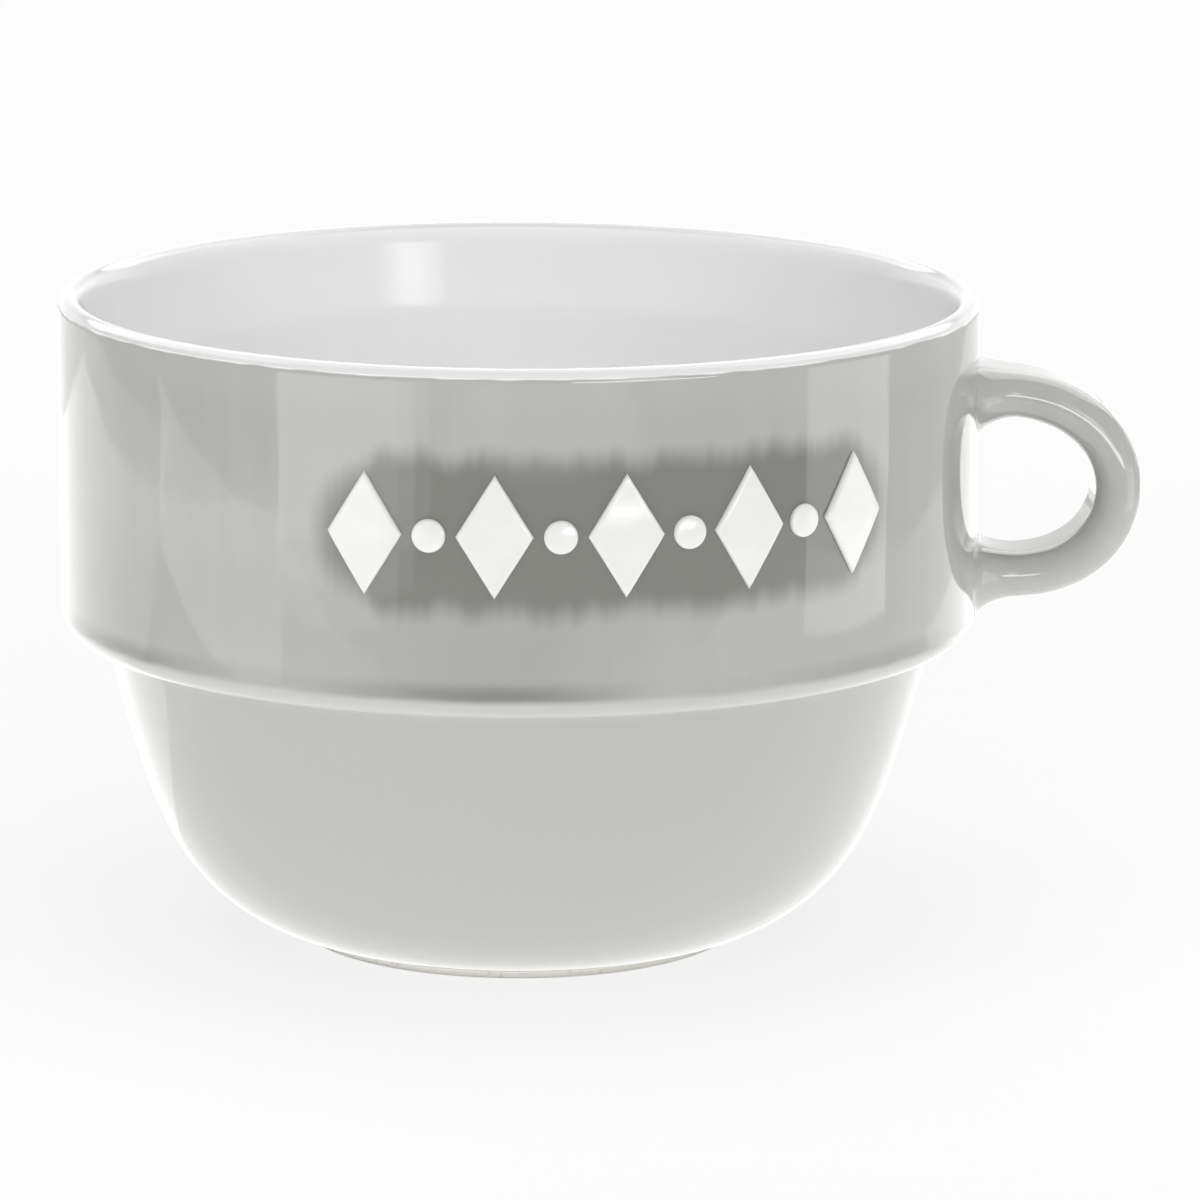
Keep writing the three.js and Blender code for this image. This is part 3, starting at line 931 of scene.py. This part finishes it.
class MUG_OT_frieze(Operator):
    """Raise one lozenge and one dot, and set copies of them round the front of the collar"""

    bl_idname = "mug.frieze"
    bl_label = "Frieze"

    def execute(self, context):
        frieze = context.scene.mug_frieze
        finish = raised_slip(context.scene.mug_colours)
        unit_side = math.sqrt(0.5)  # of a square that measures 1 from corner to corner
        bpy.ops.object.select_all(action="DESELECT")
        bpy.ops.mesh.primitive_plane_add(size=unit_side, rotation=(math.pi / 2, 0, 0))
        lozenge = name_piece("lozenge")
        bpy.ops.transform.rotate(value=math.pi / 4, orient_axis="Y", center_override=(0, 0, 0))
        bpy.ops.transform.resize(
            value=(frieze.lozenge_width, 1, frieze.lozenge_height), center_override=(0, 0, 0)
        )
        bpy.ops.mesh.subdivide(number_cuts=11)
        raise_relief(frieze, frieze.lozenge_width / 2)
        set_round_collar(context, lozenge, LOZENGES, finish)
        bpy.ops.object.select_all(action="DESELECT")
        bpy.ops.mesh.primitive_circle_add(
            vertices=48, radius=frieze.dot_radius, fill_type="TRIFAN", rotation=(math.pi / 2, 0, 0)
        )
        dot = name_piece("dot")
        raise_relief(frieze, frieze.dot_radius)
        set_round_collar(context, dot, DOTS, finish)
        return {"FINISHED"}


# Soft lights of the studio: name, place, the point that it faces, width, height, how bright the panel looks
# when a white page is 1, and whether it lights, is mirrored in the glaze, or both. Panels laid over one
# another for a soft border stand a little apart, because a reflection shows just one of two in one place.
LIGHTS = (
    ("ceiling", (0, -0.1, 1.2), (0, 0, 0.07), 1.5, 1.5, 1.72, "lights"),
    ("front_fill", (0, -1.0, 0.55), (0, 0, 0.06), 1.3, 0.7, 1.1, "lights"),
    ("back_fill", (0, 1.0, 0.55), (0, 0, 0.06), 1.3, 0.7, 1.0, "lights"),
    ("left_fill", (-1.0, 0, 0.55), (0, 0, 0.06), 1.3, 0.7, 0.05, "lights"),
    ("right_fill", (1.0, 0, 0.55), (0, 0, 0.06), 1.3, 0.7, 0.15, "lights"),
    ("back_softbox", (0.05, 0.545, 0.909), (0.05, 0, 0.07), 2.2, 1.3, 2.6, "mirrored"),
    ("backdrop", (0, 0.9, 0.2), (0, 0, 0.2), 3.0, 0.4, 0.55, "mirrored"),
    ("front_window", (0.448, -0.839, 0.225), (-0.01, 0, 0.225), 0.1, 0.2, 1.1, "both"),
    ("front_window_wide", (0.447, -0.837, 0.225), (-0.01, 0, 0.225), 0.2, 0.22, 1.2, "both"),
    ("front_window_widest", (0.446, -0.835, 0.225), (-0.01, 0, 0.225), 0.31, 0.24, 1.3, "both"),
    ("front_strip", (0.35, -0.6, 0.06), (0.35, 0, 0.06), 0.5, 0.08, 8.0, "mirrored"),
    ("left_card", (-0.1328, -0.1449, 0.0435), (-0.0095, -0.0005, 0.0435), 0.091, 0.047, 0.6, "both"),
    ("left_card_wide", (-0.1278, -0.148, 0.047), (-0.0045, -0.0036, 0.047), 0.103, 0.04, 0.6, "both"),
    ("left_card_widest", (-0.1225, -0.1512, 0.0505), (0.0008, -0.0068, 0.0505), 0.115, 0.033, 0.6, "both"),
    ("left_low_card", (-0.2437, -0.0504, 0.0195), (-0.1207, 0.0936, 0.0195), 0.2015, 0.035, 0.9, "mirrored"),
    ("right_card", (0.165, -0.048, 0.042), (-0.011, 0, 0.042), 0.081, 0.05, 1.5, "both"),
    ("table_glow", (-0.04, 0.075, 0.0003), (-0.04, 0.075, 1), 0.68, 0.55, 0.56, "both"),
    ("back_table_left", (-0.22, 0.26, 0.0004), (-0.22, 0.26, 1), 0.5, 0.48, 0.5, "mirrored"),
    ("back_table_right", (0.175, 0.41, 0.0004), (0.175, 0.41, 1), 0.31, 0.38, 0.35, "mirrored"),
    ("right_table", (0.152, 0.13, 0.0005), (0.152, 0.13, 1), 0.105, 0.12, 0.5, "mirrored"),
    ("front_table", (0.03, -0.63, 0.0004), (0.03, -0.63, 1), 0.4, 0.36, 0.6, "mirrored"),
)


def seen_directly(tree):
    """1 for a ray from the camera, a reflection or glass, and 0 for any other."""
    path = add_node(tree, "ShaderNodeLightPath").outputs
    seen = path["Is Camera Ray"]
    for ray in ("Is Glossy Ray", "Is Transmission Ray"):
        seen = add_node(tree, "ShaderNodeMath", {0: seen, 1: path[ray]}, operation="MAXIMUM").outputs[0]
    return seen


def studio_paper(stage, colours):
    """Matte white studio paper.

    It shows as plain white further off, and keeps the mug's soft shadow by the mug.
    """
    paper, tree = new_finish("studio_paper")
    colour = [*colours.floor, 1]
    matte = add_node(tree, "ShaderNodeBsdfDiffuse", {"Color": colour}).outputs[0]
    white = add_node(tree, "ShaderNodeEmission", {"Color": colour}).outputs[0]
    place = add_node(tree, "ShaderNodeTexCoord").outputs["Object"]
    away = add_node(tree, "ShaderNodeVectorMath", {0: place}, operation="LENGTH").outputs["Value"]
    whiteness = add_node(
        tree,
        "ShaderNodeMapRange",
        {
            "Value": away,
            "From Min": stage.floor_near,
            "From Max": stage.floor_turn,
            "To Min": stage.floor_white,
            "To Max": stage.floor_far,
        },
        interpolation_type="SMOOTHSTEP",
    ).outputs[0]
    plain = add_node(
        tree, "ShaderNodeMath", {0: seen_directly(tree), 1: whiteness}, operation="MULTIPLY"
    ).outputs[0]
    look = add_node(tree, "ShaderNodeMixShader", {0: plain, 1: matte, 2: white}).outputs[0]
    add_node(tree, "ShaderNodeOutputMaterial", {"Surface": look})
    return paper


def studio_room(stage):
    """White room, which lights the mug a little and is plain white where it is seen."""
    room = bpy.data.worlds.new("studio_room")
    room.use_nodes = True
    tree = room.node_tree
    tree.nodes.clear()
    strength = add_node(
        tree, "ShaderNodeMapRange", {"Value": seen_directly(tree), "To Min": stage.sky, "To Max": 1.0}
    ).outputs[0]
    walls = add_node(tree, "ShaderNodeBackground", {"Color": (1, 1, 1, 1), "Strength": strength}).outputs[0]
    add_node(tree, "ShaderNodeOutputWorld", {"Surface": walls})
    return room


class MUG_OT_stage(Operator):
    """Lay the pale floor, hang the soft lights and set the camera"""

    bl_idname = "mug.stage"
    bl_label = "Stage"

    def execute(self, context):
        scene = context.scene
        stage = scene.mug_stage
        scene.view_settings.view_transform = "Standard"
        bpy.ops.object.select_all(action="DESELECT")
        bpy.ops.mesh.primitive_circle_add(vertices=128, radius=stage.floor_radius, fill_type="NGON")
        floor = name_piece("studio_floor")
        bpy.ops.object.mode_set(mode="OBJECT")
        floor.data.materials.append(studio_paper(stage, scene.mug_colours))
        scene.world = studio_room(stage)

        for name, place, faced, wide, tall, bright, use in LIGHTS:
            look = (Vector(faced) - Vector(place)).to_track_quat("-Z", "Y")
            bpy.ops.object.light_add(type="AREA", location=place, rotation=look.to_euler())
            lamp = context.object
            lamp.name = name
            lamp.data.shape = "RECTANGLE"
            lamp.data.size = wide
            lamp.data.size_y = tall
            lamp.data.energy = bright * math.pi * wide * tall
            lamp.visible_diffuse = use != "mirrored"
            lamp.visible_glossy = use != "lights"

        aim = Vector((0, 0, stage.aim_height))
        flat = stage.distance * math.cos(stage.elevation)
        away = Vector((
            flat * math.sin(stage.azimuth),
            -flat * math.cos(stage.azimuth),
            stage.distance * math.sin(stage.elevation),
        ))
        turn = (-away).to_track_quat("-Z", "Y") @ Quaternion((0, 0, 1), stage.roll)
        bpy.ops.object.camera_add(location=aim + away, rotation=turn.to_euler())
        camera = context.object
        camera.name = "studio_camera"
        camera.data.lens = stage.lens
        scene.camera = camera
        return {"FINISHED"}


class VIEW3D_PT_mug(Panel):
    """Sizes, colours and making of the mug"""

    bl_idname = "VIEW3D_PT_mug"
    bl_label = "Breakfast mug"
    bl_space_type = "VIEW_3D"
    bl_region_type = "UI"
    bl_category = "Mug"

    def draw(self, context):
        layout = self.layout
        for maker in OPERATORS:
            layout.operator(maker.bl_idname)
        for group in GROUPS:
            box = layout.box()
            settings = getattr(context.scene, group)
            for key in settings.bl_rna.properties.keys():
                if key not in {"rna_type", "name"}:
                    box.prop(settings, key)


OPERATORS = (MUG_OT_clay_body, MUG_OT_glaze_coats, MUG_OT_handle, MUG_OT_frieze, MUG_OT_stage)
GROUPS = {
    "mug_body": MugBodySizes,
    "mug_handle": MugHandleSizes,
    "mug_frieze": MugFriezeSizes,
    "mug_colours": MugColours,
    "mug_stage": MugStage,
}


def register():
    for item in (*GROUPS.values(), *OPERATORS, VIEW3D_PT_mug):
        bpy.utils.register_class(item)
    for key, group in GROUPS.items():
        setattr(bpy.types.Scene, key, PointerProperty(type=group))


def unregister():
    for key in GROUPS:
        delattr(bpy.types.Scene, key)
    for item in (VIEW3D_PT_mug, *reversed(OPERATORS), *reversed(GROUPS.values())):
        bpy.utils.unregister_class(item)


def main():
    register()
    bpy.ops.mug.clay_body()
    bpy.ops.mug.glaze_coats()
    bpy.ops.mug.handle()
    bpy.ops.mug.frieze()
    bpy.ops.mug.stage()


if __name__ == "__main__":
    main()
